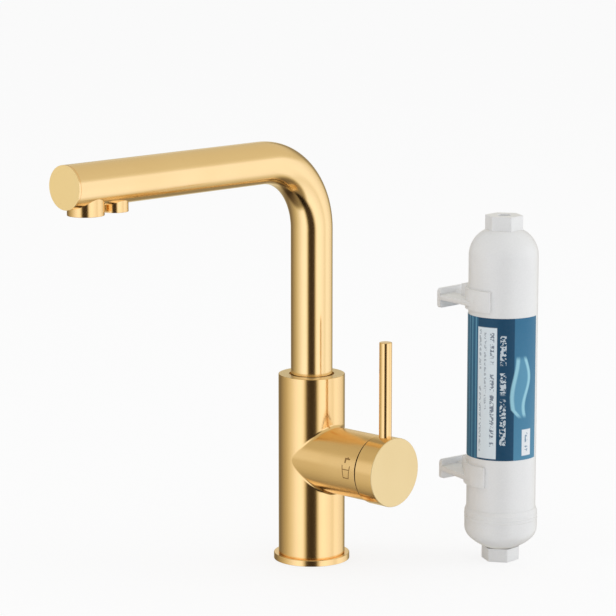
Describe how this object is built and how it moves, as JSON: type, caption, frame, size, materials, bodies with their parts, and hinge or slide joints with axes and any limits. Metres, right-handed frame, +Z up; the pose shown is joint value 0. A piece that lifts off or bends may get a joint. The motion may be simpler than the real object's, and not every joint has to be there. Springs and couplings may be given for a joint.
{
  "type": "three way filtered water tap",
  "caption": "Single-lever kitchen tap with an L-shaped swivel spout, separate mixed and filtered outlets, and an inline filter cartridge with mounting clips.",
  "frame": {"origin": "centre of the tap's underside, where its fixing stud enters, on the plane that the tap and the cartridge stand on", "axes": "+Z up; the spout points along -Y; the valve barrel and handle point along +X"},
  "size_m": [0.1548, 0.3537, 0.309],
  "materials": {
    "brushed_gold": "brushed satin gold coating",
    "raw_brass": "machined",
    "steel": "turned",
    "seal_rubber": "matt black",
    "valve_plastic": "moulded",
    "valve_ceramic": "lapped",
    "tube_plastic": "extruded",
    "aerator_plastic": "moulded",
    "white_plastic": "satin moulded",
    "clip_plastic": "moulded",
    "label_film": "printed wrap label",
    "carbon": "sintered granules",
    "fleece": "non-woven"
  },
  "bodies": {
    "tap_body": {"base_seal": "seal_rubber", "base_ring": "brushed_gold", "body_casting": "brushed_gold", "inlet_block": "raw_brass", "spout_retaining_screw": "steel", "inner_tube_seal": "seal_rubber", "cartridge_housing": "valve_plastic", "cartridge_seals": "seal_rubber", "fixed_ceramic_disc": "valve_ceramic", "cartridge_nut": "raw_brass", "dome_trim": "brushed_gold"},
    "valve_spindle": {"spindle_carrier": "valve_plastic", "tilt_pin": "steel"},
    "valve_disc": {"moving_ceramic_disc": "valve_ceramic"},
    "handle": {"valve_stem": "steel", "handle_cap": "brushed_gold", "lever_pin": "brushed_gold", "handle_set_screw": "steel"},
    "spout": {"spout_tube": "brushed_gold", "spout_end_cap": "brushed_gold", "spout_foot": "raw_brass", "spout_slip_rings": "valve_plastic", "spout_o_rings": "seal_rubber", "filtered_inner_tube": "tube_plastic", "mixed_outlet_collar": "brushed_gold", "mixed_aerator": "aerator_plastic", "mixed_aerator_washer": "seal_rubber", "filtered_outlet_collar": "brushed_gold", "filtered_aerator": "aerator_plastic"},
    "filter_cartridge": {"filter_shell": "white_plastic", "filter_end_cap": "white_plastic", "filter_label": "label_film", "carbon_block": "carbon", "fleece_wrap": "fleece", "block_end_plates": "white_plastic", "outlet_port_seal": "seal_rubber", "inlet_pad": "fleece"},
    "upper_clip_body": {"upper_clip": "clip_plastic"},
    "lower_clip_body": {"lower_clip": "clip_plastic"}
  },
  "joints": [
    {"name": "handle_turn", "type": "hinge", "parent": "tap_body", "child": "valve_spindle", "pos_m": [0.04, 0, 0.0765], "axis": [1, 0, 0], "range_deg": [-45, 90]},
    {"name": "handle_tilt", "type": "hinge", "parent": "valve_spindle", "child": "handle", "pos_m": [0.04, 0, 0.0765], "axis": [0, 1, 0], "range_deg": [0, 20]},
    {"name": "disc_slide", "type": "slide", "parent": "valve_spindle", "child": "valve_disc", "axis": [0, 0, 1], "range_m": [0, 0.003]},
    {"name": "spout_swivel", "type": "hinge", "parent": "tap_body", "child": "spout", "pos_m": [0, 0, 0.118], "axis": [0, 0, 1], "range_deg": [-110, 110]},
    {"name": "filter_lift", "type": "slide", "parent": "tap_body", "child": "filter_cartridge", "axis": [0, 0, 1], "range_m": [0, 0.03]},
    {"name": "upper_clip_turn", "type": "hinge", "parent": "filter_cartridge", "child": "upper_clip_body", "pos_m": [0.1008, 0.0933, 0.1925], "axis": [0, 0, 1], "range_deg": [-90, 90]},
    {"name": "lower_clip_turn", "type": "hinge", "parent": "filter_cartridge", "child": "lower_clip_body", "pos_m": [0.1008, 0.0933, 0.064], "axis": [0, 0, 1], "range_deg": [-90, 90]}
  ],
  "couplings": [
    {"joint": "disc_slide", "follows": "handle_tilt", "m_per_rad": 0.0085}
  ]
}
